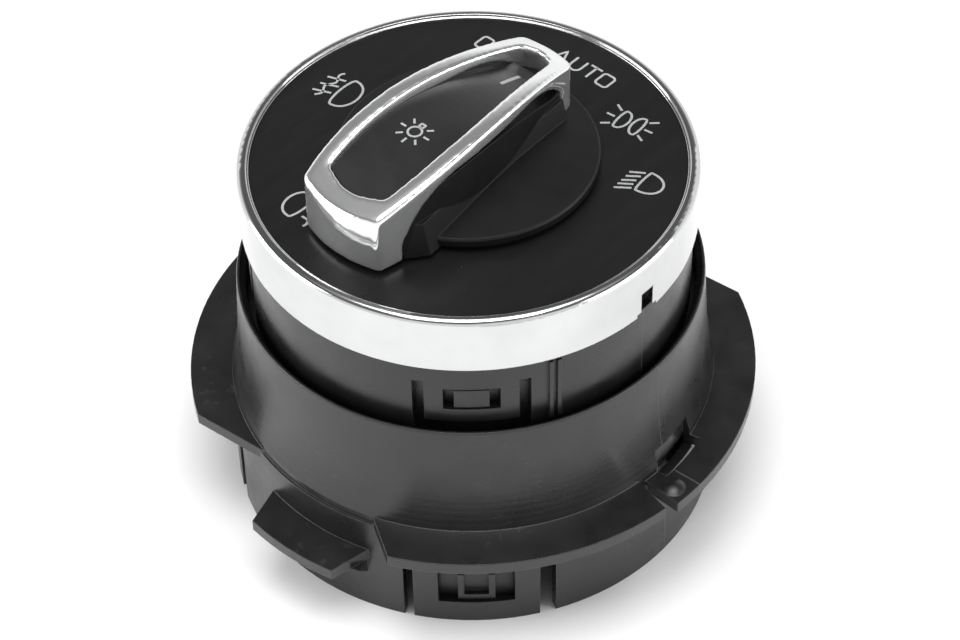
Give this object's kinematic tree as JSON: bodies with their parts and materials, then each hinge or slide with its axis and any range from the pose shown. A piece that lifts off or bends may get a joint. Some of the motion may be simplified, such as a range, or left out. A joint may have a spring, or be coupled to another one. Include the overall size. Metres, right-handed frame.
{
  "type": "headlight switch",
  "caption": "Round pull-and-turn headlight switch for a dashboard: chrome bezel, black dial, chrome-framed grip, snap-tab body and flanged mounting collar.",
  "frame": {"origin": "centre of the rear rim, on the knob's axis, at the bottom of the part", "axes": "+Z along the knob's axis towards the driver, +Y towards twelve o'clock of the dial"},
  "size_m": [0.0852, 0.0852, 0.0713],
  "materials": {
    "chrome": "bright plating on plastic",
    "dial_black": "satin black lacquer over clear plastic",
    "housing_black": "fine grain",
    "collar_black": "fine grain, slightly worn",
    "carrier_black": "as moulded",
    "knob_black": "soft satin",
    "insert_black": "satin lacquer",
    "natural_plastic": "as moulded",
    "clear_plastic": "clear moulding",
    "board": "solder mask",
    "led": "moulded",
    "brass": "plated",
    "spring_steel": "drawn wire"
  },
  "bodies": {
    "housing": {"bezel_ring": "chrome", "face_plate": "dial_black", "front_housing": "housing_black", "mounting_collar": "collar_black", "mechanism_carrier": "carrier_black", "detent_spring": "spring_steel", "light_guide": "clear_plastic", "light_board": "board", "dial_leds": "led", "board_link": "brass", "contact_board": "board", "connector_pins": "brass", "rear_cover": "carrier_black"},
    "rotor": {"detent_rotor": "natural_plastic", "contact_bridge": "brass", "pull_detent_clip": "spring_steel"},
    "knob": {"knob_body": "knob_black", "knob_trim": "chrome", "knob_insert": "insert_black", "knob_shaft": "natural_plastic", "knob_light_guide": "clear_plastic"},
    "plunger": {"detent_plunger": "natural_plastic"},
    "fog_fork": {"fog_slider": "natural_plastic", "slider_contact": "brass"}
  },
  "joints": [
    {"name": "knob_turn", "type": "hinge", "parent": "housing", "child": "rotor", "pos_m": [0, 0, 0.03], "axis": [0, 0, 1], "range_deg": [-60, 36]},
    {"name": "knob_pull", "type": "slide", "parent": "rotor", "child": "knob", "axis": [0, 0, 1], "range_m": [0, 0.006]},
    {"name": "plunger_slide", "type": "slide", "parent": "housing", "child": "plunger", "axis": [0, 0, 1], "range_m": [0, 0.0005], "stiffness_N_per_m": 800, "springref_m": -0.004, "deforming": ["detent_spring"]},
    {"name": "fog_slide", "type": "slide", "parent": "housing", "child": "fog_fork", "axis": [0, 0, 1], "range_m": [0, 0.006]}
  ],
  "couplings": [
    {"joint": "fog_slide", "follows": "knob_pull", "ratio": 1}
  ]
}
